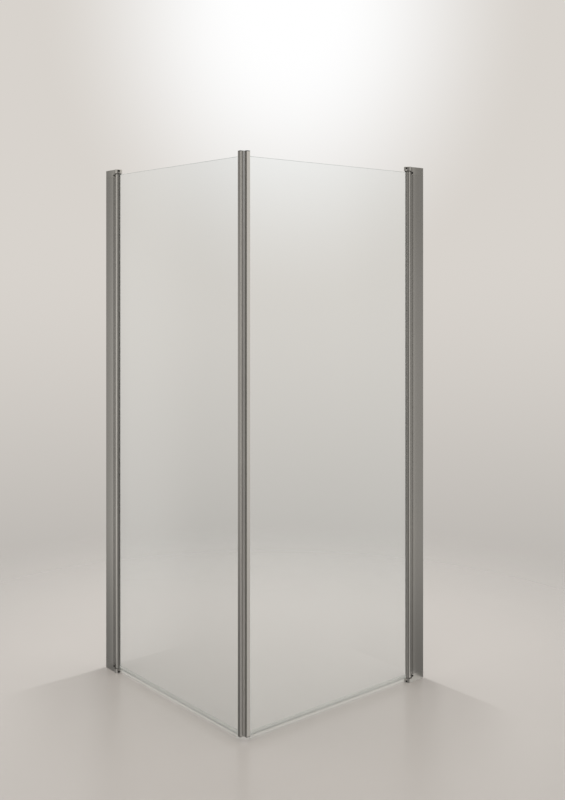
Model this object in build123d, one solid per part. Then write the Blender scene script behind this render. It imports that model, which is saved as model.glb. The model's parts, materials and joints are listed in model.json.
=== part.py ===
from build123d import *
import os
from math import sqrt

# Corner shower screen: two hinged glass doors that close at a right angle, each hung on its own wall post.
# Millimetres, +Z up. The origin is on the floor, in the middle of the square footprint.
# The back wall is the plane y = +overall_depth / 2, the side wall the plane x = +overall_width / 2.
# Seen from outside, facing the corner, the left door hangs on the back wall and closes towards -Y,
# and the right door hangs on the side wall and closes towards -X.
# Both sides are drawn in one local plan: u runs out from the wall along the closed door,
# and v runs across it, from the glass's middle plane towards the inside of the shower.

# Overall size
overall_width = 900.0
overall_depth = 900.0
overall_height = 2000.0

# Hinge
hinge_from_wall = 75.0
tube_radius = 12.0
tube_wall = 1.6
seat_gap = 0.8
nose_overhang = 3.5
nose_height = 16.0
nose_neck_radius = 8.0
nose_chamfer = 0.8
pin_radius = 2.5
pin_in_nose = 12.0
pin_in_tube = 18.0
pin_chamfer = 0.5
pin_clearance = 0.02
bush_wall = 1.1
bush_clearance = 0.05
bush_flange = 2.5
bush_length = 22.0
lift_clearance = 0.6

# Wall profile and the adjusting profile that slides in it
profile_depth = 58.0
profile_wall = 1.6
profile_base = 2.0
profile_bow = 1.0
sleeve_height = 14.0
slide_clearance = 0.25
adjuster_from_wall = 22.0
adjuster_wall = 1.5
horn_tip = 0.6

# Seal strip between the adjusting profile and the hinge tube
post_seal_width = 2.2
post_seal_foot_width = 5.0
post_seal_foot = 1.0
post_seal_stand_off = 0.35
seal_slot_clearance = 0.1

# Holes for the wall screws, four in a row on each side
wall_hole_radius = 2.75
wall_hole_inset = 190.0
wall_hole_count = 4

# Screws
screw_radius = 1.45
screw_hole_clearance = 0.05
pan_head_radius = 3.2
pan_head_height = 2.0
pan_head_round = 0.9
pan_seat_clearance = 0.4
adjusting_screw_from_wall = 40.0
adjusting_screw_inset = 250.0
adjusting_screw_count = 3
adjusting_screw_tip = 2.0
bracket_screw_radius = 1.95
bracket_head_radius = 4.0
bracket_head_height = 2.4
bracket_head_round = 1.4
bracket_head_from_front = 0.2
bracket_screw_tip = 0.5
cross_length = 3.2
cross_width = 0.7
cross_depth = 0.8
lock_screw_radius = 4.0
lock_screw_sink = 1.5
lock_screw_from_end = 6.2
lock_socket_width = 4.0
lock_socket_depth = 3.5
lock_screw_angle = -22.0

# Glass and the two gaskets that hold it
glass_thickness = 6.0
glass_bottom = 20.0
glass_top_drop = 1.9
glass_arris = 0.6
gasket_side = 1.3
gasket_floor = 0.8
gasket_stand_out = 0.8
pocket_web = 1.15

# Closing profile along the free edge, with its magnet
closing_size = 15.0
closing_round = 1.2
closing_magnet_zone = 7.0
closing_wall = 1.6
closing_bottom = 18.0
closing_top_drop = 5.0
end_cap_thickness = 2.5
end_cap_plug = 8.0
end_cap_chamfer = 0.6
end_cap_clearance = 0.15
corner_gap = 0.25
magnet_web = 2.2
magnet_seat_wall = 0.8
magnet_lip = 0.6
magnet_round = 0.8
magnet_rib = 1.2
magnet_core_thickness = 2.0
magnet_core_cover = 1.0
magnet_core_side = 0.65

# Drip seal under the glass
drip_seal_wall = 1.0
drip_seal_grip = 11.0
drip_seal_floor = 1.5
drip_seal_fin = 1.2
drip_seal_ground_gap = 5.0
drip_seal_end_gap = 0.5
drip_lip_reach = 6.0
drip_lip_drop = 11.0
drip_lip_thickness = 1.1

# Cuts run on past the face that they open by this much, and a corner counts as the one looked for within this
cut_overrun = 1.0
corner_tolerance = 0.1

# Worked out from the sizes above
nose_radius = tube_radius + nose_overhang
post_half = tube_radius
channel_half = post_half - profile_wall
adjuster_half = channel_half - slide_clearance
adjuster_inner_half = adjuster_half - adjuster_wall
seat_radius = tube_radius + seat_gap
seat_back_radius = seat_radius + adjuster_wall
adjuster_front = hinge_from_wall - sqrt(seat_radius ** 2 - (adjuster_half - horn_tip) ** 2)
bush_radius = pin_radius + bush_clearance + bush_wall
bush_bore = bush_radius + bush_clearance
tube_bottom = nose_height + bush_flange
tube_top = overall_height - nose_height - lift_clearance - bush_flange
pocket_half = glass_thickness / 2 + gasket_side
pocket_floor = hinge_from_wall + bush_bore + pocket_web
glass_top = tube_top - glass_top_drop
glass_start = pocket_floor + gasket_floor
closing_half = closing_size / 2
closing_pocket = closing_size - closing_magnet_zone
magnet_leg = closing_size + closing_half - magnet_lip - closing_pocket - pocket_half - magnet_web
magnet_depth = (magnet_leg + magnet_lip) / sqrt(2)
magnet_core_width = 2 * (magnet_depth - magnet_core_cover - magnet_core_thickness - magnet_core_side)
closing_top = overall_height - closing_top_drop
wall_hole_pitch = (overall_height - 2 * wall_hole_inset) / (wall_hole_count - 1)
adjusting_screw_pitch = (overall_height - 2 * adjusting_screw_inset) / (adjusting_screw_count - 1)
sleeve_middle = nose_height + sleeve_height / 2
bracket_tip = adjuster_inner_half - bracket_screw_tip
bracket_screw_from_wall = adjuster_front - bracket_head_radius - bracket_head_from_front


def rect(u0, u1, v0, v1):
    """A rectangle between two corners of the plan."""
    return Pos((u0 + u1) / 2, (v0 + v1) / 2) * Rectangle(u1 - u0, v1 - v0)


def disc(radius):
    """A circle about the hinge axis."""
    return Pos(hinge_from_wall, 0) * Circle(radius)


def bar(section, z0, z1):
    """A plan section drawn up from height z0 to height z1."""
    return Pos(0, 0, z0) * extrude(section, z1 - z0)


def across(radius, u, v0, v1, z):
    """A round bar that lies across the post, from v0 to v1."""
    return Pos(u, v0, z) * Rot(-90, 0, 0) * extrude(Circle(radius), v1 - v0)


def upside_down(shape):
    """The same piece for the other end of the screen, turned over at half height."""
    return mirror(shape, about=Plane.XY.offset(overall_height / 2))


def closing_start(span):
    """Where the closing profile begins: the two doors meet at the inner corners of their profiles."""
    return span - nose_radius - closing_half - corner_gap - closing_size


def row_heights(inset, count, pitch):
    """Heights of the members of an even vertical row."""
    return [inset + i * pitch for i in range(count)]


def post_outline(front):
    """Outside of the fixed post in plan, with both long faces slightly bowed."""
    near = ThreePointArc((0, -post_half), (profile_depth / 2, -post_half - profile_bow), (profile_depth, -post_half))
    far = ThreePointArc((profile_depth, post_half), (profile_depth / 2, post_half + profile_bow), (0, post_half))
    tip = Line((profile_depth, -post_half), (profile_depth, post_half))
    back = Line((0, post_half), (0, -post_half))
    outline = make_face([near, tip, far, back])
    if front > profile_depth:
        outline += rect(profile_depth, front, -post_half, post_half)
    return outline


def wall_profile():
    """Channel screwed to the wall: an extrusion with holes for the wall screws in its base."""
    channel = rect(profile_base, profile_depth, -channel_half, channel_half)
    end = nose_height + sleeve_height
    profile = bar(post_outline(profile_depth) - channel, end, overall_height - end)
    for z in row_heights(wall_hole_inset, wall_hole_count, wall_hole_pitch):
        profile -= Pos(0, 0, z) * Rot(0, 90, 0) * extrude(Circle(wall_hole_radius), profile_base)
    for z in row_heights(adjusting_screw_inset, adjusting_screw_count, adjusting_screw_pitch):
        hole = screw_radius + screw_hole_clearance
        seat = pan_head_radius + pan_seat_clearance
        profile -= across(hole, adjusting_screw_from_wall, channel_half, post_half + profile_bow, z)
        profile -= across(seat, adjusting_screw_from_wall, post_half, post_half + profile_bow, z)
    return profile


def adjusting_profile():
    """Hollow profile that slides in the wall channel, with a round seat for the hinge tube."""
    outer = rect(adjuster_from_wall, adjuster_front, -adjuster_half, adjuster_half) - disc(seat_radius)
    inner_start = adjuster_from_wall + adjuster_wall
    inner = rect(inner_start, adjuster_front, -adjuster_inner_half, adjuster_inner_half) - disc(seat_back_radius)
    slot_half = post_seal_width / 2 + seal_slot_clearance
    slot = rect(inner_start, hinge_from_wall, -slot_half, slot_half)
    profile = bar(outer - inner - slot, nose_height, overall_height - nose_height)
    hole = screw_radius + screw_hole_clearance
    for z in row_heights(adjusting_screw_inset, adjusting_screw_count, adjusting_screw_pitch):
        profile -= across(hole, adjusting_screw_from_wall, 0, adjuster_half, z)
    hole = bracket_screw_radius + screw_hole_clearance
    for z in (sleeve_middle, overall_height - sleeve_middle):
        profile -= across(hole, bracket_screw_from_wall, -adjuster_half, -bracket_tip, z)
        profile -= across(hole, bracket_screw_from_wall, bracket_tip, adjuster_half, z)
    return profile


def post_seal():
    """Soft strip that closes the gap behind the turning tube, held by its foot in the adjusting profile."""
    foot_front = hinge_from_wall - seat_back_radius
    tip = hinge_from_wall - tube_radius - post_seal_stand_off
    foot = rect(foot_front - post_seal_foot, foot_front, -post_seal_foot_width / 2, post_seal_foot_width / 2)
    stem = rect(foot_front - post_seal_foot, tip, -post_seal_width / 2, post_seal_width / 2) - disc(
        tube_radius + post_seal_stand_off
    )
    return bar(foot + stem, nose_height, overall_height - nose_height)


def bottom_hinge_bracket():
    """Block that closes the post's end: a nose under the tube, and a sleeve around the adjusting profile."""
    neck = post_outline(hinge_from_wall) + disc(nose_radius)
    meets = hinge_from_wall - sqrt(nose_radius ** 2 - post_half ** 2)
    corners = [point for point in neck.vertices() if abs(point.X - meets) < corner_tolerance]
    block = bar(fillet(corners, nose_neck_radius), 0, nose_height)
    foot_edges = block.faces().sort_by(Axis.Z)[0].edges()
    rim = [edge for edge in foot_edges if edge.bounding_box().max.X > corner_tolerance]
    block = chamfer(rim, nose_chamfer)
    inside = rect(profile_base, adjuster_front + cut_overrun, -channel_half, channel_half)
    block += bar(post_outline(adjuster_front) - inside, nose_height, nose_height + sleeve_height)
    pin_hole = Pos(hinge_from_wall, 0) * Circle(pin_radius + pin_clearance)
    block -= bar(pin_hole, nose_height - pin_in_nose, nose_height)
    block -= lock_screw_way(lock_screw_radius + screw_hole_clearance, 0, nose_radius + cut_overrun)
    hole = bracket_screw_radius + screw_hole_clearance
    seat = bracket_head_radius + pan_seat_clearance
    for side in (-1, 1):
        drill = across(hole, bracket_screw_from_wall, bracket_tip, post_half, sleeve_middle)
        drill += across(seat, bracket_screw_from_wall, post_half, post_half + profile_bow, sleeve_middle)
        block -= drill if side > 0 else mirror(drill, about=Plane.XZ)
    return block


def lock_screw_way(radius, start, end):
    """A round bar in the nose that points at the pin."""
    way = Rot(0, 90, 0) * Pos(0, 0, start) * extrude(Circle(radius), end - start)
    return Pos(hinge_from_wall, 0, lock_screw_from_end) * Rot(0, 0, lock_screw_angle) * way


def bottom_pivot_pin():
    """Stainless pin fixed in the nose, on which the tube's bush turns."""
    pin = Cylinder(pin_radius, pin_in_nose + bush_flange + pin_in_tube, align=(Align.CENTER, Align.CENTER, Align.MIN))
    pin = chamfer(pin.edges().filter_by(GeomType.CIRCLE), pin_chamfer)
    return Pos(hinge_from_wall, 0, nose_height - pin_in_nose) * pin


def bottom_lock_screw():
    """Grub screw that locks the pin in the nose, with a hexagon socket."""
    start = pin_radius + pin_clearance
    end = nose_radius - lock_screw_sink
    screw = lock_screw_way(lock_screw_radius, start, end)
    hexagon = RegularPolygon(lock_socket_width / 2, 6, major_radius=False)
    socket = Rot(0, 90, 0) * Pos(0, 0, end - lock_socket_depth) * extrude(hexagon, lock_socket_depth)
    return screw - Pos(hinge_from_wall, 0, lock_screw_from_end) * Rot(0, 0, lock_screw_angle) * socket


def cross_recess(head_face, depth):
    """Cross-shaped recess cut from the plane v = head_face into a screw's head."""
    bars = Rectangle(cross_length, cross_width) + Rectangle(cross_width, cross_length)
    return Pos(0, head_face - depth, 0) * Rot(-90, 0, 0) * extrude(bars, depth)


def pan_screw(radius, head_radius, head_height, head_round, tip):
    """Pan-head screw across the post, with its head on the plane v = post_half and its end at v = tip."""
    head = Cylinder(head_radius, head_height, align=(Align.CENTER, Align.CENTER, Align.MIN))
    head = fillet(head.edges().sort_by(Axis.Z)[-1], head_round)
    body = extrude(Circle(radius), post_half - tip) + Pos(0, 0, post_half - tip) * head
    screw = Pos(0, tip, 0) * Rot(-90, 0, 0) * body
    return screw - cross_recess(post_half + head_height, cross_depth)


def bracket_screws():
    """Four pan-head screws that fix the two brackets to the adjusting profile."""
    inner = pan_screw(
        bracket_screw_radius, bracket_head_radius, bracket_head_height, bracket_head_round, bracket_tip
    )
    inner = Pos(bracket_screw_from_wall, 0, sleeve_middle) * inner
    low = [inner, mirror(inner, about=Plane.XZ)]
    return Compound(low + [upside_down(screw) for screw in low])


def adjusting_screws():
    """Pan-head screws inside the shower that lock the adjusting profile in the wall profile."""
    tip = adjuster_inner_half - adjusting_screw_tip
    screw = pan_screw(screw_radius, pan_head_radius, pan_head_height, pan_head_round, tip)
    heights = row_heights(adjusting_screw_inset, adjusting_screw_count, adjusting_screw_pitch)
    return Compound([Pos(adjusting_screw_from_wall, 0, z) * screw for z in heights])


def hinge_tube():
    """Round door extrusion: an outer ring, a pocket for the glass and a bored core for the bushes."""
    inner = tube_radius - tube_wall
    core = disc(bush_bore + pocket_web)
    webs = rect(hinge_from_wall - inner, hinge_from_wall, -tube_wall / 2, tube_wall / 2)
    webs += rect(hinge_from_wall - tube_wall / 2, hinge_from_wall + tube_wall / 2, -inner, inner)
    jaws_half = pocket_half + tube_wall
    jaws = rect(hinge_from_wall, hinge_from_wall + tube_radius, -jaws_half, jaws_half) & disc(tube_radius)
    jaws -= rect(hinge_from_wall, pocket_floor - pocket_web, -jaws_half, jaws_half)
    section = disc(tube_radius) - disc(inner) + core + webs + jaws
    section -= rect(pocket_floor, hinge_from_wall + tube_radius, -pocket_half, pocket_half)
    section -= disc(bush_bore)
    return bar(section, tube_bottom, tube_top)


def bottom_bush():
    """Plastic bearing bush: its flange carries the tube on the nose, its barrel sits in the tube's core."""
    flange = bar(disc(tube_radius), nose_height, tube_bottom)
    barrel = bar(disc(bush_radius), tube_bottom, tube_bottom + bush_length)
    bore = bar(disc(pin_radius + bush_clearance), nose_height, tube_bottom + bush_length)
    return flange + barrel - bore


def top_bush():
    """The same bush turned over at the top, with a small clearance under the upper nose."""
    return Pos(0, 0, -lift_clearance) * upside_down(bottom_bush())


def gasket(floor, mouth, outer_half):
    """U-shaped strip around the glass edge; floor and mouth are the u of its closed and open ends."""
    inner_floor = floor + gasket_floor if mouth > floor else floor - gasket_floor
    outer = rect(min(floor, mouth), max(floor, mouth), -outer_half, outer_half)
    half = glass_thickness / 2
    slot = rect(min(inner_floor, mouth), max(inner_floor, mouth), -half, half)
    return bar(outer - slot, glass_bottom, glass_top)


def hinge_gasket():
    """Gasket that holds the glass in the hinge tube."""
    return gasket(pocket_floor, hinge_from_wall + tube_radius + gasket_stand_out, pocket_half)


def closing_gasket(span):
    """Gasket that holds the glass in the closing profile."""
    start = closing_start(span)
    return gasket(start + closing_pocket, start - gasket_stand_out, pocket_half)


def glass(span):
    """Tempered pane with ground edges."""
    end = closing_start(span) + closing_pocket - gasket_floor
    half = glass_thickness / 2
    pane = bar(rect(glass_start, end, -half, half), glass_bottom, glass_top)
    return chamfer(pane.edges().filter_by(Axis.Y, reverse=True), glass_arris)


def magnet_seat(start):
    """Corner of the closing profile's section that the magnet strip fills."""
    far = start + closing_size
    points = [
        (far - magnet_leg, closing_half),
        (far - magnet_leg, closing_half - magnet_lip),
        (far - magnet_lip, closing_half - magnet_leg),
        (far, closing_half - magnet_leg),
        (far, closing_half),
    ]
    return make_face(Polyline(points, close=True))


def on_magnet_diagonal(start, distance, shape):
    """Puts a shape on the strip's 45 degree line, at a distance out from the face that it sits on."""
    reach = (magnet_leg + magnet_lip) / 2
    step = distance / sqrt(2)
    centre = (start + closing_size - reach + step, closing_half - reach + step)
    return Pos(*centre) * Rot(0, 0, 45) * shape


def magnet_rib_section(start):
    """Rib on the strip's back that slides in a groove of the closing profile."""
    return on_magnet_diagonal(start, -magnet_rib / 2, Rectangle(magnet_rib, magnet_rib))


def magnet_core_section(start):
    """Section of the flat magnetic bar inside the strip."""
    distance = magnet_core_cover + magnet_core_thickness / 2
    return on_magnet_diagonal(start, distance, Rectangle(magnet_core_thickness, magnet_core_width))


def closing_outline(start):
    """Outside of the closing profile in plan, with softened corners."""
    return Pos(start + closing_half, 0) * RectangleRounded(closing_size, closing_size, closing_round)


def closing_chamber(start, clearance):
    """Hollow of the closing profile beside the magnet, less a clearance all round."""
    u0 = start + closing_pocket + closing_wall + clearance
    u1 = start + closing_size - closing_wall - clearance
    v0 = closing_wall - closing_half + clearance
    v1 = closing_half - magnet_leg - magnet_seat_wall - clearance
    return rect(u0, u1, v0, v1)


def closing_profile(span):
    """Square extrusion on the glass's free edge: glass pocket, hollow chamber and magnet seat."""
    start = closing_start(span)
    section = closing_outline(start) - magnet_seat(start) - magnet_rib_section(start)
    section -= rect(start, start + closing_pocket, -pocket_half, pocket_half)
    section -= closing_chamber(start, 0)
    return bar(section, closing_bottom, closing_top)


def magnet_strip(span):
    """Soft strip whose 45 degree face meets the other door's strip."""
    start = closing_start(span)
    seat = magnet_seat(start)
    nose = [point for point in seat.vertices() if point.X > start + closing_size - corner_tolerance]
    seat = fillet(max(nose, key=lambda point: point.Y), magnet_round)
    return bar(seat + magnet_rib_section(start) - magnet_core_section(start), closing_bottom, closing_top)


def magnet_core(span):
    """Magnetic bar inside the soft strip."""
    return bar(magnet_core_section(closing_start(span)), closing_bottom, closing_top)


def end_cap(span, glass_gap):
    """Plastic cap under the closing profile, with plugs into its chamber and its glass pocket."""
    start = closing_start(span)
    bottom = closing_bottom - end_cap_thickness
    cap = bar(closing_outline(start), bottom, closing_bottom)
    cap = chamfer(cap.faces().sort_by(Axis.Z)[0].edges(), end_cap_chamfer)
    cap += bar(closing_chamber(start, end_cap_clearance), closing_bottom, closing_bottom + end_cap_plug)
    plug_half = pocket_half - end_cap_clearance
    plug = rect(start, start + closing_pocket - end_cap_clearance, -plug_half, plug_half)
    return cap + bar(plug, closing_bottom, closing_bottom + glass_gap - gasket_floor)


def bottom_end_cap(span):
    """Cap at the foot of the closing profile."""
    return end_cap(span, glass_bottom - closing_bottom)


def top_end_cap(span):
    """Cap at the head of the closing profile, with a long plug over the glass."""
    turned = upside_down(end_cap(span, closing_top - glass_top))
    return Pos(0, 0, closing_top + closing_bottom - overall_height) * turned


def drip_seal(span):
    """Clear strip clipped on the pane's foot: a fin towards the floor and a lip that throws water back in."""
    half = glass_thickness / 2
    outer = half + drip_seal_wall
    foot = glass_bottom - drip_seal_floor
    section = rect(-outer, outer, foot, glass_bottom + drip_seal_grip)
    section -= rect(-half, half, glass_bottom, glass_bottom + drip_seal_grip)
    section += rect(-drip_seal_fin / 2, drip_seal_fin / 2, drip_seal_ground_gap, foot)
    lip = [
        (outer - drip_lip_thickness, foot),
        (outer, foot + drip_lip_thickness),
        (outer + drip_lip_reach, foot + drip_lip_thickness - drip_lip_drop),
        (outer + drip_lip_reach - drip_lip_thickness, foot - drip_lip_drop),
    ]
    section += make_face(Polyline(lip, close=True))
    start = hinge_from_wall + nose_radius + drip_seal_end_gap
    end = closing_start(span) - gasket_stand_out - drip_seal_end_gap
    return extrude(Plane.YZ.offset(start) * section, end - start)


def place_left(shape):
    """Moves a shape from the local plan to the back wall."""
    return Pos(nose_radius - overall_width / 2, overall_depth / 2, 0) * Rot(0, 0, -90) * shape


def place_right(shape):
    """Moves a shape from the local plan to the side wall, mirrored."""
    return Pos(overall_width / 2, nose_radius - overall_depth / 2, 0) * mirror(shape, about=Plane.YZ)


def side_pieces(span):
    """Every piece of one side in the local plan; span is the wall's distance to the outer corner."""
    return {
        "wall_profile": wall_profile(),
        "adjusting_profile": adjusting_profile(),
        "post_seal": post_seal(),
        "bottom_hinge_bracket": bottom_hinge_bracket(),
        "top_hinge_bracket": upside_down(bottom_hinge_bracket()),
        "bottom_pivot_pin": bottom_pivot_pin(),
        "top_pivot_pin": upside_down(bottom_pivot_pin()),
        "pin_lock_screws": Compound([bottom_lock_screw(), upside_down(bottom_lock_screw())]),
        "bracket_screws": bracket_screws(),
        "adjusting_screws": adjusting_screws(),
        "hinge_tube": hinge_tube(),
        "bottom_bush": bottom_bush(),
        "top_bush": top_bush(),
        "hinge_gasket": hinge_gasket(),
        "glass": glass(span),
        "closing_gasket": closing_gasket(span),
        "closing_profile": closing_profile(span),
        "magnet_strip": magnet_strip(span),
        "magnet_core": magnet_core(span),
        "bottom_end_cap": bottom_end_cap(span),
        "top_end_cap": top_end_cap(span),
        "drip_seal": drip_seal(span),
    }


os.makedirs("parts", exist_ok=True)
for name, piece in side_pieces(overall_depth).items():
    export_step(place_left(piece), f"parts/left_{name}.step")
for name, piece in side_pieces(overall_width).items():
    export_step(place_right(piece), f"parts/right_{name}.step")
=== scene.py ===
import json
import math

import bmesh
import bpy
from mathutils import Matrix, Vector

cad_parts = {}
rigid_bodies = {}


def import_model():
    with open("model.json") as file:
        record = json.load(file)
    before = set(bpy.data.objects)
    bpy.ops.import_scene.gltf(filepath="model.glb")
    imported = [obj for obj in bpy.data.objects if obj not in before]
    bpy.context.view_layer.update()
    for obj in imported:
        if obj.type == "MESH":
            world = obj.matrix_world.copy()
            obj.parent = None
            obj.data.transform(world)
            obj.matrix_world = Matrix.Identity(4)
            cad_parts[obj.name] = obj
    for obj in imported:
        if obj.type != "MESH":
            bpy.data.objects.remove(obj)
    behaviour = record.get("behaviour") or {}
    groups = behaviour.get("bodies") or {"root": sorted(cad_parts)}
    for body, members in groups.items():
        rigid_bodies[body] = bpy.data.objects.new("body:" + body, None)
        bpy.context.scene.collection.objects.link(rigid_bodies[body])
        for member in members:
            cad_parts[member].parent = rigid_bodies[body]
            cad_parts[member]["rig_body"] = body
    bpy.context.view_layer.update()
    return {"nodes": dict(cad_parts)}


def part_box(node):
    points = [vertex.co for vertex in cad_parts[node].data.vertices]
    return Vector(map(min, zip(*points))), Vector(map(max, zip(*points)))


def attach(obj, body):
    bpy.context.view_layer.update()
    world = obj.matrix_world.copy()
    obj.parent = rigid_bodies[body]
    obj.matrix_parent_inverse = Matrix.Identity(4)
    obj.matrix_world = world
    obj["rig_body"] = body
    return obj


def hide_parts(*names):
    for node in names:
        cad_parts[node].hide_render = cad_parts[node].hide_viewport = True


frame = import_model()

# Corner shower screen: two hinged panes of clear glass between satin aluminium profiles.
# Metres, +Z up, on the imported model's frame. The left side is fixed at +Y and the right side at +X.

SIDES = ("left", "right")

# Viewpoint
# A level camera at eye height outside the corner, with the lens shifted down so that upright edges stay
# upright. Place, heading and lens were fitted to the photograph.
eye = (-2.539, -3.132, 1.553)
heading_deg = 40.16
lens_mm = 45.62
horizon_px = 282.0
frame_height_px = 800

camera_data = bpy.data.cameras.new("photo_camera")
camera_data.lens = lens_mm
camera_data.sensor_width = 36.0
camera_data.shift_y = horizon_px / frame_height_px - 0.5
camera = bpy.data.objects.new("photo_camera", camera_data)
camera.location = eye
camera.rotation_euler = (math.radians(90), 0, math.radians(-heading_deg))
bpy.context.scene.collection.objects.link(camera)
bpy.context.scene.camera = camera
bpy.context.scene.view_settings.view_transform = "Standard"


# Hinge tubes and closing profiles
# Aluminium extrusions of one constant section, sawn to length, deburred, etched and anodised in warm grey.
# The tube turns on its bushes and the closing profile stands on the pane's free edge; both hold the glass in
# a pocket.
def linear(code):
    """An sRGB hex colour as linear red, green, blue and alpha."""
    parts = [int(code[i : i + 2], 16) / 255 for i in (1, 3, 5)]
    return tuple(c / 12.92 if c <= 0.04045 else ((c + 0.055) / 1.055) ** 2.4 for c in parts) + (1.0,)


def add_node(tree, kind, settings=None, inputs=None):
    """Adds a node with its settings; an input is a value or the socket that feeds it, by name or by place."""
    node = tree.nodes.new(kind)
    for key, value in (settings or {}).items():
        setattr(node, key, value)
    for key, value in (inputs or {}).items():
        if isinstance(value, bpy.types.NodeSocket):
            tree.links.new(value, node.inputs[key])
        else:
            node.inputs[key].default_value = value
    return node


def new_material(name):
    """An empty material and its node tree."""
    material = bpy.data.materials.new(name)
    material.use_nodes = True
    material.node_tree.nodes.clear()
    return material, material.node_tree


def grain_pattern(tree, size, detail=2.0, seed=0.0):
    """Noise in object space, from 0 to 1, whose size along X, Y and Z is given in metres."""
    place = add_node(tree, "ShaderNodeTexCoord").outputs["Object"]
    scaled = add_node(
        tree,
        "ShaderNodeMapping",
        None,
        {"Vector": place, "Scale": [1 / s for s in size], "Location": (seed,) * 3},
    )
    noise = add_node(
        tree, "ShaderNodeTexNoise", None, {"Vector": scaled.outputs[0], "Scale": 1.0, "Detail": detail}
    )
    return noise.outputs["Fac"]


def grained_finish(name, shades, roughness, grain, depth, clouds, **constants):
    """A finish with a fine grain in bump and roughness, and broad clouds between two near shades."""
    material, tree = new_material(name)
    fine = grain_pattern(tree, grain, detail=3.0)
    broad = grain_pattern(tree, clouds, seed=3.0)
    bump = add_node(tree, "ShaderNodeBump", None, {"Height": fine, "Strength": 0.3, "Distance": depth})
    gloss = add_node(
        tree, "ShaderNodeMapRange", None, {"Value": fine, "To Min": roughness[0], "To Max": roughness[1]}
    )
    colour = add_node(
        tree,
        "ShaderNodeMix",
        {"data_type": "RGBA"},
        {"Factor": broad, "A": linear(shades[0]), "B": linear(shades[1])},
    )
    shader = add_node(
        tree,
        "ShaderNodeBsdfPrincipled",
        None,
        {
            "Base Color": colour.outputs["Result"],
            "Roughness": gloss.outputs[0],
            "Normal": bump.outputs[0],
            **constants,
        },
    )
    add_node(tree, "ShaderNodeOutputMaterial", None, {"Surface": shader.outputs[0]})
    return material


def merged_copy(node_name):
    """The CAD node's shape with its loose triangles merged and its flat faces made whole."""
    shape = bmesh.new()
    shape.from_mesh(frame["nodes"][node_name].data)
    bmesh.ops.remove_doubles(shape, verts=shape.verts, dist=1e-6)
    bmesh.ops.dissolve_limit(shape, angle_limit=math.radians(0.5), verts=shape.verts, edges=shape.edges)
    return shape


def new_piece(name, shape):
    """A mesh object from a bmesh, which it frees."""
    bare = bpy.data.meshes.new(name)
    shape.verts.index_update()
    places = [vert.co[:] for vert in shape.verts]
    corners = [[vert.index for vert in face.verts] for face in shape.faces]
    bare.from_pydata(places, [], corners)
    shape.free()
    piece = bpy.data.objects.new(name, bare)
    bpy.context.scene.collection.objects.link(piece)
    return piece


def apply_modifiers(piece):
    """Turns the piece's evaluated shape into its plain mesh."""
    graph = bpy.context.evaluated_depsgraph_get()
    result = bpy.data.meshes.new_from_object(
        piece.evaluated_get(graph), preserve_all_data_layers=True, depsgraph=graph
    )
    piece.modifiers.clear()
    piece.data = result


def run_tree(piece, tree, values):
    """Gives the piece a Geometry Nodes modifier with the tree's inputs set by name."""
    modifier = piece.modifiers.new(tree.name, "NODES")
    modifier.node_group = tree
    for item in tree.interface.items_tree:
        if item.in_out == "INPUT" and item.name in values:
            modifier[item.identifier] = values[item.name]


def soften_edges(piece, radius, sharp_deg=32, small_rim=0.0095):
    """Rounds the sharp edges; the rims of small drilled holes stay crisp."""
    shape = bmesh.new()
    shape.from_mesh(piece.data)
    weight = shape.edges.layers.float.new("bevel_weight_edge")
    left = {edge for edge in shape.edges if edge.calc_face_angle(0) > math.radians(sharp_deg)}
    while left:
        run = [left.pop()]
        for edge in run:
            near = {other for vert in edge.verts for other in vert.link_edges} & left
            left -= near
            run += near
        first = run[0].verts[0].co
        is_long = max((vert.co - first).length for edge in run for vert in edge.verts) > small_rim
        for edge in run:
            edge[weight] = float(is_long)
            edge.smooth = is_long
    for face in shape.faces:
        face.smooth = True
    shape.to_mesh(piece.data)
    shape.free()
    bevel = piece.modifiers.new("soft_edges", "BEVEL")
    bevel.width = radius
    bevel.segments = 2
    bevel.limit_method = "WEIGHT"
    bevel.use_clamp_overlap = False
    bevel.harden_normals = True
    apply_modifiers(piece)


def take_place(piece, node_name, material=None):
    """The finished piece stands for its CAD node on the same body, with the given material; the CAD node is
    hidden.
    """
    node = frame["nodes"][node_name]
    if material:
        piece.data.materials.clear()
        piece.data.materials.append(material)
    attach(piece, node["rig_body"])
    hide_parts(node_name)


def section_face(node_name, run):
    """The flat end of a constant section, where its run starts."""
    shape = merged_copy(node_name)
    start = min(run.dot(vert.co) for vert in shape.verts)
    others = [
        face
        for face in shape.faces
        if face.normal.dot(run) > -0.99 or run.dot(face.calc_center_median()) > start + 1e-5
    ]
    bmesh.ops.delete(shape, geom=others, context="FACES")
    return shape


smooth = {"interpolation_type": "SMOOTHSTEP"}


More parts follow.
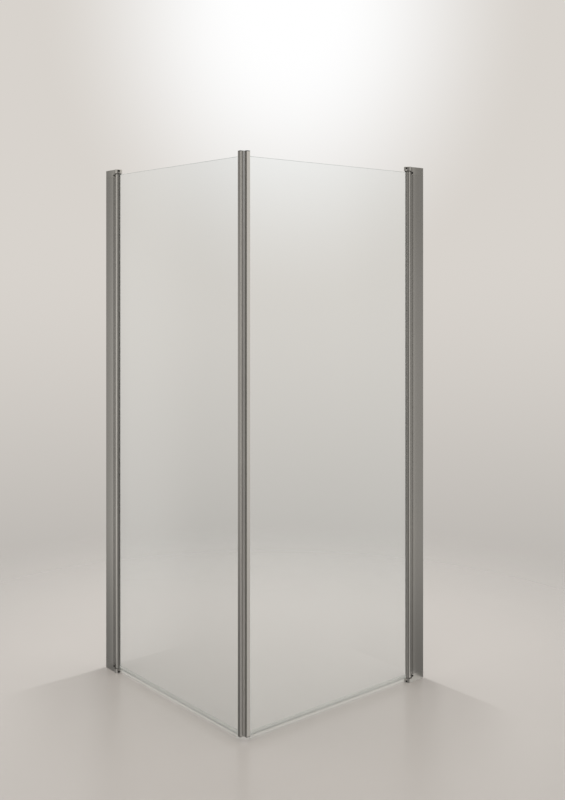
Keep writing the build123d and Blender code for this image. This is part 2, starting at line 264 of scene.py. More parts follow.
def extrusion_tree():
    """Draws a flat section along its run in even steps; what hangs below a height sways a little sideways."""
    tree = bpy.data.node_groups.new("extrusion", "GeometryNodeTree")
    sockets = {
        "Geometry": "NodeSocketGeometry",
        "Step": "NodeSocketVector",
        "Steps": "NodeSocketInt",
        "Sideways": "NodeSocketVector",
        "Sway": "NodeSocketFloat",
        "Sway Length": "NodeSocketFloat",
        "Hangs From": "NodeSocketFloat",
        "Hangs To": "NodeSocketFloat",
        "Seed": "NodeSocketFloat",
        "Material": "NodeSocketMaterial",
    }
    for name, kind in sockets.items():
        tree.interface.new_socket(name, in_out="INPUT", socket_type=kind)
    tree.interface.new_socket("Geometry", in_out="OUTPUT", socket_type="NodeSocketGeometry")
    given = add_node(tree, "NodeGroupInput").outputs
    forward = add_node(tree, "GeometryNodeFlipFaces", None, {"Mesh": given["Geometry"]})
    base = add_node(
        tree,
        "GeometryNodeStoreNamedAttribute",
        {"data_type": "BOOLEAN", "domain": "FACE"},
        {"Geometry": forward.outputs[0], "Name": "front", "Value": True},
    )
    start = add_node(tree, "GeometryNodeRepeatInput", None, {"Iterations": given["Steps"]})
    end = add_node(tree, "GeometryNodeRepeatOutput")
    start.pair_with_output(end)
    tree.links.new(base.outputs[0], start.inputs["Geometry"])
    front = add_node(tree, "GeometryNodeInputNamedAttribute", {"data_type": "BOOLEAN"}, {"Name": "front"})
    drawn = add_node(
        tree,
        "GeometryNodeExtrudeMesh",
        {"mode": "FACES"},
        {
            "Mesh": start.outputs["Geometry"],
            "Selection": front.outputs[0],
            "Offset": given["Step"],
            "Individual": False,
        },
    )
    marked = add_node(
        tree,
        "GeometryNodeStoreNamedAttribute",
        {"data_type": "BOOLEAN", "domain": "FACE"},
        {"Geometry": drawn.outputs["Mesh"], "Name": "front", "Value": drawn.outputs["Top"]},
    )
    tree.links.new(marked.outputs[0], end.inputs["Geometry"])
    closing = add_node(tree, "GeometryNodeJoinGeometry", None, {0: end.outputs["Geometry"]})
    tree.links.new(given["Geometry"], closing.inputs[0])
    solid = add_node(
        tree, "GeometryNodeMergeByDistance", None, {"Geometry": closing.outputs[0], "Distance": 1e-6}
    )
    place = add_node(tree, "GeometryNodeInputPosition").outputs[0]
    height = add_node(tree, "ShaderNodeSeparateXYZ", None, {0: place}).outputs["Z"]
    hang = add_node(
        tree,
        "ShaderNodeMapRange",
        smooth,
        {
            "Value": height,
            "From Min": given["Hangs From"],
            "From Max": given["Hangs To"],
            "To Max": given["Sway"],
        },
    )
    stretched = add_node(tree, "ShaderNodeVectorMath", {"operation": "SCALE"}, {0: place})
    wave = add_node(tree, "ShaderNodeMath", {"operation": "DIVIDE"}, {0: 1.0, 1: given["Sway Length"]})
    tree.links.new(wave.outputs[0], stretched.inputs["Scale"])
    noise = add_node(
        tree,
        "ShaderNodeTexNoise",
        {"noise_dimensions": "4D"},
        {"Vector": stretched.outputs[0], "W": given["Seed"], "Scale": 1.0, "Detail": 1.0},
    )
    centred = add_node(tree, "ShaderNodeMath", {"operation": "SUBTRACT"}, {0: noise.outputs["Fac"], 1: 0.5})
    push = add_node(
        tree, "ShaderNodeMath", {"operation": "MULTIPLY"}, {0: centred.outputs[0], 1: hang.outputs[0]}
    )
    offset = add_node(tree, "ShaderNodeVectorMath", {"operation": "SCALE"}, {0: given["Sideways"]})
    tree.links.new(push.outputs[0], offset.inputs["Scale"])
    swayed = add_node(
        tree, "GeometryNodeSetPosition", None, {"Geometry": solid.outputs[0], "Offset": offset.outputs[0]}
    )
    real = add_node(tree, "GeometryNodeRealizeInstances", None, {0: swayed.outputs[0]})
    dressed = add_node(
        tree, "GeometryNodeSetMaterial", None, {"Geometry": real.outputs[0], "Material": given["Material"]}
    )
    add_node(tree, "NodeGroupOutput", None, {0: dressed.outputs[0]})
    return tree


extrusion = extrusion_tree()
UP = Vector((0, 0, 1))


def extruded(node_name, material, radius, run=UP, steps=1, **sway):
    """A CAD extrusion drawn anew from its own section, with softened edges."""
    low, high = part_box(node_name)
    length = abs((high - low).dot(run))
    piece = new_piece(f"{node_name}_extruded", section_face(node_name, run))
    values = {
        "Step": run * (length / steps),
        "Steps": steps,
        "Sideways": (0.0, 0.0, 0.0),
        "Sway": 0.0,
        "Sway Length": 1.0,
        "Hangs From": 0.0,
        "Hangs To": -1.0,
        "Seed": 0.0,
        "Material": material,
        **sway,
    }
    run_tree(piece, extrusion, values)
    apply_modifiers(piece)
    soften_edges(piece, radius)
    take_place(piece, node_name, material)


# Anodised aluminium: fine lines from the die run the whole length, under a satin oxide layer that blurs
# reflections. The lines are drawn coarser than real ones, so that they show.
die_line = 0.0012
die_run = 0.9
deburred = 0.0003
anodised = grained_finish(
    "anodised_aluminium_satin",
    shades=("#ADAAA4", "#B5B2AD"),
    roughness=(0.2, 0.28),
    grain=(die_line, die_line, die_run),
    depth=0.00004,
    clouds=(0.18, 0.18, 0.36),
    Metallic=1.0,
)
for side in SIDES:
    extruded(f"{side}_hinge_tube", anodised, deburred)
    extruded(f"{side}_closing_profile", anodised, deburred)


# Wall profiles and adjusting profiles
# The same aluminium. The wall profile is a channel screwed on through holes in its base, and the adjusting
# profile slides in it to take up a wall that isn't plumb. Both are drilled after sawing.
def softened(node_name, material, radius):
    """A copy of the CAD piece with its sharp edges rounded, as deburring or a mould leaves them."""
    piece = new_piece(f"{node_name}_softened", merged_copy(node_name))
    soften_edges(piece, radius)
    take_place(piece, node_name, material)


for side in SIDES:
    softened(f"{side}_wall_profile", anodised, deburred)
    softened(f"{side}_adjusting_profile", anodised, deburred)


# Hinge brackets
# Zinc castings that close each end of a post: a sleeve over the adjusting profile and a round nose that
# holds the pin. Satin plated to match the profiles, with rounded edges and the faint grain of a blasted
# casting.
cast_edge = 0.0004
plated_zinc = grained_finish(
    "plated_zinc_satin",
    shades=("#ACA9A3", "#B5B2AC"),
    roughness=(0.26, 0.36),
    grain=(0.0006,) * 3,
    depth=0.00005,
    clouds=(0.02,) * 3,
    Metallic=1.0,
)
for side in SIDES:
    for end in ("bottom", "top"):
        softened(f"{side}_{end}_hinge_bracket", plated_zinc, cast_edge)


# Screws
# Black pan heads fix the brackets, bright pan heads on the shower side lock the width, and black grub
# screws in the noses lock the pins. All have a formed recess, and each stopped turning at its own angle.
def turned(name, outline, segments=40):
    """A solid of revolution about Z from an outline of (radius, height) points."""
    shape = bmesh.new()
    points = [shape.verts.new((radius, 0, height)) for radius, height in outline]
    rim = [shape.edges.new(pair) for pair in zip(points, points[1:])]
    bmesh.ops.spin(
        shape,
        geom=points + rim,
        cent=(0, 0, 0),
        axis=(0, 0, 1),
        angle=math.tau,
        steps=segments,
        use_duplicate=False,
    )
    bmesh.ops.remove_doubles(shape, verts=shape.verts, dist=1e-7)
    bmesh.ops.recalc_face_normals(shape, faces=shape.faces)
    return new_piece(name, shape)


def recess_cutter(outline, depth, taper):
    """A punch for a recess: the outline at the top, drawn in to taper times its size at the depth."""
    clear = 0.0005
    shape = bmesh.new()
    rings = [
        [shape.verts.new((x * size, y * size, height)) for x, y in outline]
        for size, height in ((1 + (1 - taper) * clear / depth, clear), (taper, -depth))
    ]
    top, low = rings
    shape.faces.new(top)
    shape.faces.new(list(reversed(low)))
    for i in range(len(outline)):
        j = (i + 1) % len(outline)
        shape.faces.new((low[i], low[j], top[j], top[i]))
    bmesh.ops.recalc_face_normals(shape, faces=shape.faces)
    return new_piece("recess_cutter", shape)


def cross_outline(length, width):
    """The twelve corners of a cross."""
    a, b = length / 2, width / 2
    quarter = [(a, -b), (a, b), (b, b)]
    corners = []
    for turn in range(4):
        c, s = round(math.cos(turn * math.pi / 2)), round(math.sin(turn * math.pi / 2))
        corners += [(x * c - y * s, x * s + y * c) for x, y in quarter]
    return corners


def hexagon_outline(across_flats):
    """The six corners of a hexagon socket."""
    radius = across_flats / math.sqrt(3)
    return [(radius * math.cos(math.pi * k / 3), radius * math.sin(math.pi * k / 3)) for k in range(6)]


def punched(blank, cutter):
    """Cuts the recess into the blank."""
    cut = blank.modifiers.new("recess", "BOOLEAN")
    cut.operation = "DIFFERENCE"
    cut.solver = "EXACT"
    cut.object = cutter
    apply_modifiers(blank)
    bpy.data.objects.remove(cutter)
    return blank


def pan_head(name, head_radius, head_height, shank_radius, length, recess):
    """A pan-head screw with its head's top at the origin, pointing down."""
    crown = 0.72
    dome_drop = 0.12
    flank_drop = 0.6
    dome = [
        (head_radius * crown * math.sin(a), -head_height * dome_drop * (1 - math.cos(a)))
        for a in (math.pi / 2 * k / 5 for k in range(6))
    ]
    flank = [
        (
            head_radius * (crown + (1 - crown) * math.sin(a)),
            -head_height * (dome_drop + flank_drop * (1 - math.cos(a))),
        )
        for a in (math.pi / 2 * k / 6 for k in range(1, 7))
    ]
    chamfer = shank_radius * 0.45
    foot = [(head_radius, -head_height), (shank_radius, -head_height)]
    shank = [(shank_radius, -length + chamfer), (shank_radius - chamfer, -length), (0, -length)]
    return punched(turned(name, dome + flank + foot + shank), recess)


def screw_tree():
    """Sets a screw on every point, along the point's axis, each turned by an angle of its own."""
    tree = bpy.data.node_groups.new("screws_in_place", "GeometryNodeTree")
    sockets = {
        "Geometry": "NodeSocketGeometry",
        "Screw": "NodeSocketObject",
        "Seed": "NodeSocketInt",
        "Material": "NodeSocketMaterial",
    }
    for name, kind in sockets.items():
        tree.interface.new_socket(name, in_out="INPUT", socket_type=kind)
    tree.interface.new_socket("Geometry", in_out="OUTPUT", socket_type="NodeSocketGeometry")
    given = add_node(tree, "NodeGroupInput").outputs
    axis = add_node(tree, "GeometryNodeInputNamedAttribute", {"data_type": "FLOAT_VECTOR"}, {"Name": "axis"})
    along = add_node(
        tree, "FunctionNodeAlignRotationToVector", {"axis": "Z"}, {"Vector": axis.outputs["Attribute"]}
    )
    chance = add_node(
        tree,
        "FunctionNodeRandomValue",
        {"data_type": "FLOAT"},
        {"Min": 0.0, "Max": math.tau, "Seed": given["Seed"]},
    )
    spin = add_node(tree, "ShaderNodeCombineXYZ", None, {"Z": chance.outputs["Value"]})
    turn = add_node(tree, "FunctionNodeEulerToRotation", None, {0: spin.outputs[0]})
    placed = add_node(
        tree,
        "FunctionNodeRotateRotation",
        {"rotation_space": "LOCAL"},
        {"Rotation": along.outputs[0], "Rotate By": turn.outputs[0]},
    )
    screw = add_node(tree, "GeometryNodeObjectInfo", None, {"Object": given["Screw"], "As Instance": True})
    screws = add_node(
        tree,
        "GeometryNodeInstanceOnPoints",
        None,
        {"Points": given["Geometry"], "Instance": screw.outputs["Geometry"], "Rotation": placed.outputs[0]},
    )
    real = add_node(tree, "GeometryNodeRealizeInstances", None, {0: screws.outputs[0]})
    dressed = add_node(
        tree, "GeometryNodeSetMaterial", None, {"Geometry": real.outputs[0], "Material": given["Material"]}
    )
    add_node(tree, "NodeGroupOutput", None, {0: dressed.outputs[0]})
    return tree


def islands(node_name):
    """The separate solids of a CAD node, each as a list of points."""
    shape = merged_copy(node_name)
    left = set(shape.verts)
    found = []
    while left:
        reached = [left.pop()]
        for vert in reached:
            near = {edge.other_vert(vert) for edge in vert.link_edges} & left
            left -= near
            reached += near
        found.append([vert.co.copy() for vert in reached])
    shape.free()
    return sorted(found, key=lambda points: tuple(points[0]))


def head_of(points, axis):
    """The middle of a screw's outer end: half way across its solid, and furthest along its axis."""
    side = axis.cross(UP).normalized()
    low_up, high_up = min(p.z for p in points), max(p.z for p in points)
    sides = [side.dot(p) for p in points]
    return (
        side * (min(sides) + max(sides)) / 2
        + UP * (low_up + high_up) / 2
        + axis * max(axis.dot(p) for p in points)
    )


screws_in_place = screw_tree()


def set_screws(side, row, screw, axes, material, seed):
    """Puts a screw on each solid of a CAD node; axes gives the outward direction of a solid."""
    node_name = f"{side}_{row}"
    solids = islands(node_name)
    directions = [axes(points, side) for points in solids]
    seats = bpy.data.meshes.new(f"{node_name}_driven")
    seats.from_pydata([head_of(points, axis)[:] for points, axis in zip(solids, directions)], [], [])
    axis_data = seats.attributes.new("axis", "FLOAT_VECTOR", "POINT")
    for entry, axis in zip(axis_data.data, directions):
        entry.vector = axis
    piece = bpy.data.objects.new(f"{node_name}_driven", seats)
    bpy.context.scene.collection.objects.link(piece)
    run_tree(piece, screws_in_place, {"Screw": screw, "Seed": seed, "Material": material})
    apply_modifiers(piece)
    piece.data.set_sharp_from_angle(angle=math.radians(40))
    for face in piece.data.polygons:
        face.use_smooth = True
    take_place(piece, node_name, material)


# Black oxide on steel: nearly black with a dull sheen, a little browner in patches.
black_oxide = grained_finish(
    "black_oxide_steel",
    shades=("#171615", "#24221F"),
    roughness=(0.38, 0.5),
    grain=(0.0008,) * 3,
    depth=0.00003,
    clouds=(0.003,) * 3,
    Metallic=0.6,
)
# Stainless steel, cold headed and tumbled: bright, with fine scuffs.
stainless = grained_finish(
    "stainless_steel_tumbled",
    shades=("#B3B1AC", "#C6C4BF"),
    roughness=(0.16, 0.28),
    grain=(0.0004,) * 3,
    depth=0.00002,
    clouds=(0.004,) * 3,
    Metallic=1.0,
)


def middle_of(node_name):
    """The middle of a CAD node's box."""
    low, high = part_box(node_name)
    return (low + high) / 2


across_post = {"left": Vector((1, 0, 0)), "right": Vector((0, 1, 0))}
post_middle = {side: middle_of(f"{side}_post_seal") for side in SIDES}
pin_middle = {side: middle_of(f"{side}_bottom_pivot_pin") for side in SIDES}


def outward(points, side):
    """The side of the post on which a screw's head stands."""
    across = across_post[side]
    middle = sum(points, Vector()) / len(points)
    return across if across.dot(middle - post_middle[side]) > 0 else -across


def from_pin(points, side):
    """The level direction from the pin out to a grub screw."""
    offset = sum(points, Vector()) / len(points) - pin_middle[side]
    return Vector((offset.x, offset.y, 0)).normalized()


cross_taper = 0.6
bracket_cross = recess_cutter(cross_outline(length=0.0044, width=0.0011), depth=0.0013, taper=cross_taper)
bracket_screw = pan_head(
    "bracket_screw",
    head_radius=0.004,
    head_height=0.0024,
    shank_radius=0.00195,
    length=0.0062,
    recess=bracket_cross,
)
adjusting_cross = recess_cutter(cross_outline(length=0.0034, width=0.0009), depth=0.0011, taper=cross_taper)
adjusting_screw = pan_head(
    "adjusting_screw",
    head_radius=0.0032,
    head_height=0.002,
    shank_radius=0.00145,
    length=0.0073,
    recess=adjusting_cross,
)
grub_radius = 0.004
grub_length = 0.0115
grub_chamfer = 0.0004
grub_outline = [
    (0, 0),
    (grub_radius - grub_chamfer, 0),
    (grub_radius, -grub_chamfer),
    (grub_radius, grub_chamfer - grub_length),
    (grub_radius - grub_chamfer, -grub_length),
    (0, -grub_length),
]
grub_socket = recess_cutter(hexagon_outline(across_flats=0.004), depth=0.0035, taper=1.0)
grub_screw = punched(turned("grub_screw", grub_outline), grub_socket)
for side in SIDES:
    set_screws(side, "bracket_screws", bracket_screw, outward, black_oxide, seed=11)
    set_screws(side, "adjusting_screws", adjusting_screw, outward, stainless, seed=12)
    set_screws(side, "pin_lock_screws", grub_screw, from_pin, black_oxide, seed=13)
for pattern_screw in (bracket_screw, adjusting_screw, grub_screw):
    bpy.data.objects.remove(pattern_screw)


# Pivot pins
# Turned stainless pins, pressed into the noses. They stay inside the bushes, so the CAD shape is kept and
# only takes its material.
def dress(material, *pieces):
    """Gives the CAD nodes of both sides their material."""
    for side in SIDES:
        for piece in pieces:
            frame["nodes"][f"{side}_{piece}"].material_slots[0].material = material


dress(stainless, "top_pivot_pin", "bottom_pivot_pin")


# Bearing bushes and end caps
# Acetal, injection moulded in dark grey. The bushes carry the tube on its pins and the caps close the
# closing profile, with rounded edges and the fine matt texture of a spark-eroded mould.
moulded_edge = 0.0003
acetal = grained_finish(
    "acetal_dark_grey",
    shades=("#4B4A46", "#565450"),
    roughness=(0.42, 0.55),
    grain=(0.0005,) * 3,
    depth=0.00004,
    clouds=(0.004,) * 3,
    IOR=1.48,
)
for side in SIDES:
    for end in ("bottom", "top"):
        softened(f"{side}_{end}_bush", acetal, moulded_edge)
        softened(f"{side}_{end}_end_cap", acetal, moulded_edge)


# Glazing gaskets and post seals
# Extruded grey thermoplastic rubber, dull and soft. The gaskets grip the glass in its pockets, and the post
# seals wipe the turning tubes.
rubber_edge = 0.00035
rubber = grained_finish(
    "grey_rubber_extruded",
    shades=("#7E7C77", "#8B8984"),
    roughness=(0.6, 0.75),
    grain=(0.0009, 0.0009, 0.02),
    depth=0.00005,
    clouds=(0.05, 0.05, 0.2),
    IOR=1.5,
)
for side in SIDES:
    for piece in ("hinge_gasket", "closing_gasket", "post_seal"):
        extruded(f"{side}_{piece}", rubber, rubber_edge)


# Magnet strips
# Soft vinyl sleeves at the inner corners of the closing profiles, each with a dark magnetic bar inside.
# The vinyl is a warm mid grey close to the aluminium, with faint streaks along its length.
vinyl_edge = 0.0002
vinyl = grained_finish(
    "magnet_vinyl_grey",
    shades=("#8F8D88", "#9A9893"),
    roughness=(0.4, 0.5),
    grain=(0.0015, 0.0015, 0.25),
    depth=0.00005,
    clouds=(0.02, 0.02, 0.3),
    IOR=1.53,
)
ferrite = grained_finish(
    "bonded_ferrite_bar",
    shades=("#24211F", "#34302D"),
    roughness=(0.6, 0.8),
    grain=(0.0004,) * 3,
    depth=0.00003,
    clouds=(0.004,) * 3,
)
for side in SIDES:
    extruded(f"{side}_magnet_strip", vinyl, vinyl_edge)
dress(ferrite, "magnet_core")


# Glass
# Clear float glass, 6 mm, tempered, with fire-polished faces. Its edges are ground, which leaves them
# frosted and a little green, because there the eye looks along the sheet. A thin film of air parts each
# face from the seal and the gaskets that press on it, so light finds two surfaces.
air_film = 0.00003


def let_light_through(tree, shader, tint):
    """Ends the material: the shader, except that shadow rays pass straight through with a tint."""
    through = add_node(tree, "ShaderNodeBsdfTransparent", None, {"Color": linear(tint)})
    path = add_node(tree, "ShaderNodeLightPath")
    surface = add_node(
        tree,
        "ShaderNodeMixShader",
        None,
        {0: path.outputs["Is Shadow Ray"], 1: shader.outputs[0], 2: through.outputs[0]},
    )
    add_node(tree, "ShaderNodeOutputMaterial", None, {"Surface": surface.outputs[0]})


float_glass, tree = new_material("float_glass_clear")
shader = add_node(
    tree,
    "ShaderNodeBsdfPrincipled",
    None,
    {"Base Color": linear("#F8FAFA"), "IOR": 1.52, "Roughness": 0.0, "Transmission Weight": 1.0},
)
let_light_through(tree, shader, "#F6F8F8")
ground_glass = grained_finish(
    "ground_glass_edge",
    shades=("#ABB7B2", "#B9C3BE"),
    roughness=(0.4, 0.55),
    grain=(0.0004,) * 3,
    depth=0.00003,
    clouds=(0.01,) * 3,
    IOR=1.52,
)
for side in SIDES:
    node_name = f"{side}_glass"
    pane = new_piece(f"{node_name}_pane", merged_copy(node_name))
    pane.data.materials.append(float_glass)
    pane.data.materials.append(ground_glass)
    middle = middle_of(node_name)
    for vert in pane.data.vertices:
        to_face = across_post[side].dot(vert.co - middle)
        vert.co -= across_post[side] * math.copysign(air_film, to_face)
    for face in pane.data.polygons:
        face.material_index = 0 if abs(face.normal.dot(across_post[side])) > 0.999 else 1
    take_place(pane, node_name)


# Drip seals
# Clear soft vinyl, extruded and clipped on the foot of the pane: a fin towards the floor and a lip that
# throws water back in. It is slightly milky, and its free lips wander a little, as a soft strip does after
# some time. It lies close on the pane, with no air between, so its index is written below vinyl's 1.53.
seal_edge = 0.0003
seal_steps = 96
seal_sway = 0.0022
sway_length = 0.07
sway_from = 0.0185
sway_seed = {"left": 2.0, "right": 5.0}
clear_vinyl, tree = new_material("clear_vinyl_extruded")
haze = grain_pattern(tree, (0.006,) * 3)
tint = add_node(
    tree,
    "ShaderNodeMix",
    {"data_type": "RGBA"},
    {"Factor": haze, "A": linear("#F3F4F2"), "B": linear("#FBFBFA")},
)
shader = add_node(
    tree,
    "ShaderNodeBsdfPrincipled",
    None,
    {"Base Color": tint.outputs["Result"], "IOR": 1.2, "Roughness": 0.12, "Transmission Weight": 0.84},
)
let_light_through(tree, shader, "#EDEEED")
door_runs = {"left": Vector((0, -1, 0)), "right": Vector((-1, 0, 0))}
for side in SIDES:
    node_name = f"{side}_drip_seal"
    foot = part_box(node_name)[0].z
    extruded(
        node_name,
        clear_vinyl,
        seal_edge,
        run=door_runs[side],
        steps=seal_steps,
        Sideways=across_post[side],
        Sway=seal_sway,
        **{"Sway Length": sway_length, "Hangs From": sway_from, "Hangs To": foot, "Seed": sway_seed[side]},
    )


# Floor
# A pale sealed floor with a dull gloss. It fades away with distance, so the background goes on with no
# horizon. Metal mirrors the light around it and not the floor, so the posts stay even down to their feet.
floor_radius = 2.6
fade_start = 0.7

disc_shape = bmesh.new()
bmesh.ops.create_circle(disc_shape, cap_ends=True, radius=floor_radius, segments=96)
floor = new_piece("floor", disc_shape)
floor_material, tree = new_material("sealed_microcement")
place = add_node(tree, "ShaderNodeTexCoord").outputs["Object"]
distance = add_node(tree, "ShaderNodeVectorMath", {"operation": "LENGTH"}, {0: place}).outputs["Value"]
fade = add_node(
    tree,
    "ShaderNodeMapRange",
    smooth,
    {"Value": distance, "From Min": fade_start, "From Max": floor_radius},
)
clouds = grain_pattern(tree, (0.5,) * 3, seed=7.0)
tone = add_node(
    tree,
    "ShaderNodeMix",
    {"data_type": "RGBA"},
    {"Factor": clouds, "A": linear("#C0BBB6"), "B": linear("#C4BFBA")},
)
shader = add_node(
    tree,
    "ShaderNodeBsdfPrincipled",
    None,
    {"Base Color": tone.outputs["Result"], "Roughness": 0.3, "IOR": 1.45},
)
gone = add_node(tree, "ShaderNodeBsdfTransparent")
surface = add_node(
    tree, "ShaderNodeMixShader", None, {0: fade.outputs[0], 1: shader.outputs[0], 2: gone.outputs[0]}
)
add_node(tree, "ShaderNodeOutputMaterial", None, {"Surface": surface.outputs[0]})
floor.data.materials.append(floor_material)
floor.visible_glossy = False


# Reflector cards
# Two narrow cards stand in line with the backs of the posts, where the metal mirrors them and nothing else
# shows them. They glow grey next to the post and light further out, and dimmer at foot and head: painted
# shade, as a wall is shaded beside a post and towards floor and ceiling.
card_width = 0.5
card_height = 2.3
card_gap = 0.002
# Glow levels of the cards: dimmer next to the post, at the foot and at the head, as painted shade.
card_shade_by_post = 0.48
card_far = 1.0
left_step = (0.0, 0.11)
right_step = (0.045, 0.11)
card_fade_start = 0.16
card_foot_shade = 0.6
card_foot_top = 0.6
card_head_shade = 0.82
card_head_from = 1.1
card_head_to = 2.0


def reflector_card(name, corner, along, step):
    """An upright card from the post outwards, seen by mirrors only, whose far edge fades away."""
    out = Vector(along) * card_width
    up = Vector((0, 0, card_height))
    low = Vector(corner)
    shape = bmesh.new()
    shape.faces.new([shape.verts.new(place) for place in (low, low + out, low + out + up, low + up)])
    card = new_piece(name, shape)
    material, tree = new_material(name)
    place = add_node(tree, "ShaderNodeTexCoord").outputs["Object"]
    from_post = add_node(tree, "ShaderNodeVectorMath", {"operation": "SUBTRACT"}, {0: place, 1: low})
    reach = add_node(
        tree,
        "ShaderNodeVectorMath",
        {"operation": "DOT_PRODUCT"},
        {0: from_post.outputs[0], 1: Vector(along)},
    ).outputs["Value"]
    height = add_node(tree, "ShaderNodeSeparateXYZ", None, {0: place}).outputs["Z"]
    # Painted shade: the glow is dim next to the post, as a wall is beside a post, and dims again at foot and
    # head.
    shade = add_node(
        tree,
        "ShaderNodeMapRange",
        smooth,
        {"Value": reach, "From Min": step[0], "From Max": step[1], "To Min": card_shade_by_post, "To Max": card_far},
    )
    foot = add_node(
        tree, "ShaderNodeMapRange", smooth, {"Value": height, "From Max": card_foot_top, "To Min": card_foot_shade}
    )
    head = add_node(
        tree,
        "ShaderNodeMapRange",
        smooth,
        {
            "Value": height,
            "From Min": card_head_from,
            "From Max": card_head_to,
            "To Min": 1.0,
            "To Max": card_head_shade,
        },
    )
    level = add_node(
        tree, "ShaderNodeMath", {"operation": "MULTIPLY"}, {0: shade.outputs[0], 1: foot.outputs[0]}
    )
    level = add_node(
        tree, "ShaderNodeMath", {"operation": "MULTIPLY"}, {0: level.outputs[0], 1: head.outputs[0]}
    )
    gone = add_node(
        tree,
        "ShaderNodeMapRange",
        smooth,
        {"Value": reach, "From Min": card_fade_start, "From Max": card_width},
    )
    glow = add_node(
        tree, "ShaderNodeEmission", None, {"Color": linear("#FFFDFA"), "Strength": level.outputs[0]}
    )
    clear = add_node(tree, "ShaderNodeBsdfTransparent")
    surface = add_node(
        tree, "ShaderNodeMixShader", None, {0: gone.outputs[0], 1: glow.outputs[0], 2: clear.outputs[0]}
    )
    add_node(tree, "ShaderNodeOutputMaterial", None, {"Surface": surface.outputs[0]})
    card.data.materials.append(material)
    card.visible_camera = False
    card.visible_diffuse = False
    card.visible_transmission = False
    card.visible_shadow = False


left_post_low, left_post_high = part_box("left_wall_profile")
right_post_low, right_post_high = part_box("right_wall_profile")
reflector_card("left_card", (left_post_low.x, left_post_high.y + card_gap, 0), (-1, 0, 0), left_step)
reflector_card("right_card", (right_post_high.x + card_gap, right_post_low.y, 0), (0, -1, 0), right_step)


# Background
# A pale warm tone that darkens downwards, with a soft white glow above the screen. It is only seen, directly
# or through the glass, and lights nothing.
backdrop_low = "#B3AFAA"
backdrop_high = "#D8D3CD"
backdrop_edge = (-0.4, 0.04)
glow_direction = (0.626, 0.732, 0.268)
glow_squash = (1.0, 1.0, 0.8)
glow_edge = (0.24, 0.04)

world = bpy.data.worlds.new("studio")
bpy.context.scene.world = world
world.use_nodes = True
tree = world.node_tree
tree.nodes.clear()
direction = add_node(tree, "ShaderNodeTexCoord").outputs["Generated"]
height = add_node(tree, "ShaderNodeSeparateXYZ", None, {0: direction}).outputs["Z"]
backdrop_rise = add_node(
    tree,
    "ShaderNodeMapRange",
    smooth,
    {"Value": height, "From Min": backdrop_edge[0], "From Max": backdrop_edge[1]},
)
backdrop_tone = add_node(
    tree,
    "ShaderNodeMix",
    {"data_type": "RGBA"},
    {"Factor": backdrop_rise.outputs[0], "A": linear(backdrop_low), "B": linear(backdrop_high)},
)
off_glow = add_node(
    tree, "ShaderNodeVectorMath", {"operation": "SUBTRACT"}, {0: direction, 1: glow_direction}
)
off_glow = add_node(
    tree, "ShaderNodeVectorMath", {"operation": "MULTIPLY"}, {0: off_glow.outputs[0], 1: glow_squash}
)
off_glow = add_node(tree, "ShaderNodeVectorMath", {"operation": "LENGTH"}, {0: off_glow.outputs[0]})
glow = add_node(
    tree,
    "ShaderNodeMapRange",
    smooth,
    {
        "Value": off_glow.outputs["Value"],
        "From Min": glow_edge[1],
        "From Max": glow_edge[0],
        "To Min": 1.0,
        "To Max": 0.0,
    },
)
seen_tone = add_node(
    tree,
    "ShaderNodeMix",
    {"data_type": "RGBA"},
    {"Factor": glow.outputs[0], "A": backdrop_tone.outputs["Result"], "B": (1.0, 1.0, 1.0, 1.0)},
)
seen = add_node(tree, "ShaderNodeBackground", None, {"Color": seen_tone.outputs["Result"]})


# Light that the metal mirrors
# Level directions count, because the profiles stand upright: light to the right, darker behind the viewer,
# and grey to the far left, where the grey is lightest a little below eye height. The rest of the light is
# one even tone.
viewer_deg = -125.5
viewer_edge = (0.6, 0.88)
viewer_level = 0.3
left_deg = 125.0
left_edge = (0.6, 0.87)
left_level = 0.66
left_foot = 0.45
left_head = 0.55
left_rise_heights = (-0.36, -0.16)
left_fall_heights = (-0.06, 0.1)
right_level = 1.15
around_foot = 0.72
around_foot_heights = (-0.4, 0.0)
fill_strength = 0.74
soft_top = 0.82
soft_top_deg = 55


def level_direction(degrees):
    """The level direction at an angle from +X."""
    return (math.cos(math.radians(degrees)), math.sin(math.radians(degrees)), 0)


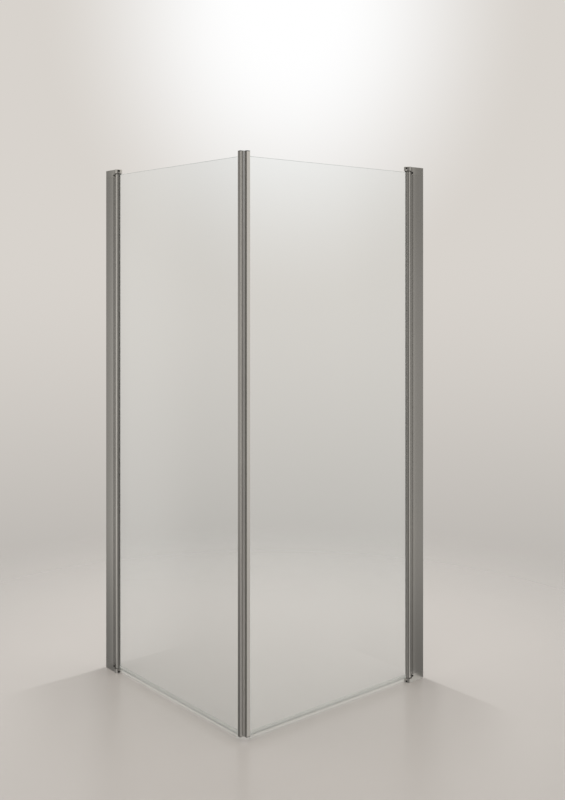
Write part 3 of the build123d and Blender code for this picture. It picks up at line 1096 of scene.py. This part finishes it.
left_rise = add_node(
    tree,
    "ShaderNodeMapRange",
    smooth,
    {
        "Value": height,
        "From Min": left_rise_heights[0],
        "From Max": left_rise_heights[1],
        "To Min": left_foot,
    },
)
left_fall = add_node(
    tree,
    "ShaderNodeMapRange",
    smooth,
    {
        "Value": height,
        "From Min": left_fall_heights[0],
        "From Max": left_fall_heights[1],
        "To Min": left_level,
        "To Max": left_level * left_head,
    },
)
left_tone = add_node(
    tree, "ShaderNodeMath", {"operation": "MULTIPLY"}, {0: left_rise.outputs[0], 1: left_fall.outputs[0]}
)
to_left = add_node(
    tree, "ShaderNodeVectorMath", {"operation": "DOT_PRODUCT"}, {0: direction, 1: level_direction(left_deg)}
)
sides = add_node(
    tree,
    "ShaderNodeMapRange",
    smooth,
    {
        "Value": to_left.outputs["Value"],
        "From Min": left_edge[0],
        "From Max": left_edge[1],
        "To Min": right_level,
        "To Max": left_tone.outputs[0],
    },
)
to_viewer = add_node(
    tree, "ShaderNodeVectorMath", {"operation": "DOT_PRODUCT"}, {0: direction, 1: level_direction(viewer_deg)}
)
behind_viewer = add_node(
    tree,
    "ShaderNodeMapRange",
    smooth,
    {"Value": to_viewer.outputs["Value"], "From Min": viewer_edge[0], "From Max": viewer_edge[1]},
)
around = add_node(
    tree,
    "ShaderNodeMix",
    {"data_type": "FLOAT"},
    {"Factor": behind_viewer.outputs[0], "A": sides.outputs[0], "B": viewer_level},
)
sink = add_node(
    tree,
    "ShaderNodeMapRange",
    smooth,
    {
        "Value": height,
        "From Min": around_foot_heights[0],
        "From Max": around_foot_heights[1],
        "To Min": around_foot,
    },
)
mirror_level = add_node(
    tree, "ShaderNodeMath", {"operation": "MULTIPLY"}, {0: around.outputs["Result"], 1: sink.outputs[0]}
)
mirrored = add_node(
    tree, "ShaderNodeBackground", None, {"Color": linear("#FFFDFA"), "Strength": mirror_level.outputs[0]}
)
fill = add_node(tree, "ShaderNodeBackground", None, {"Color": linear("#FFFDFB"), "Strength": fill_strength})
path = add_node(tree, "ShaderNodeLightPath")
not_seen = add_node(
    tree,
    "ShaderNodeMixShader",
    None,
    {0: path.outputs["Is Glossy Ray"], 1: fill.outputs[0], 2: mirrored.outputs[0]},
)
direct = add_node(
    tree,
    "ShaderNodeMath",
    {"operation": "MAXIMUM"},
    {0: path.outputs["Is Camera Ray"], 1: path.outputs["Is Transmission Ray"]},
)
surface = add_node(
    tree, "ShaderNodeMixShader", None, {0: direct.outputs[0], 1: not_seen.outputs[0], 2: seen.outputs[0]}
)
add_node(tree, "ShaderNodeOutputWorld", None, {"Surface": surface.outputs[0]})

lamp_data = bpy.data.lights.new("soft_top_light", "SUN")
lamp_data.energy = soft_top
lamp_data.angle = math.radians(soft_top_deg)
lamp_data.color = linear("#FFFBF6")[:3]
lamp = bpy.data.objects.new("soft_top_light", lamp_data)
bpy.context.scene.collection.objects.link(lamp)
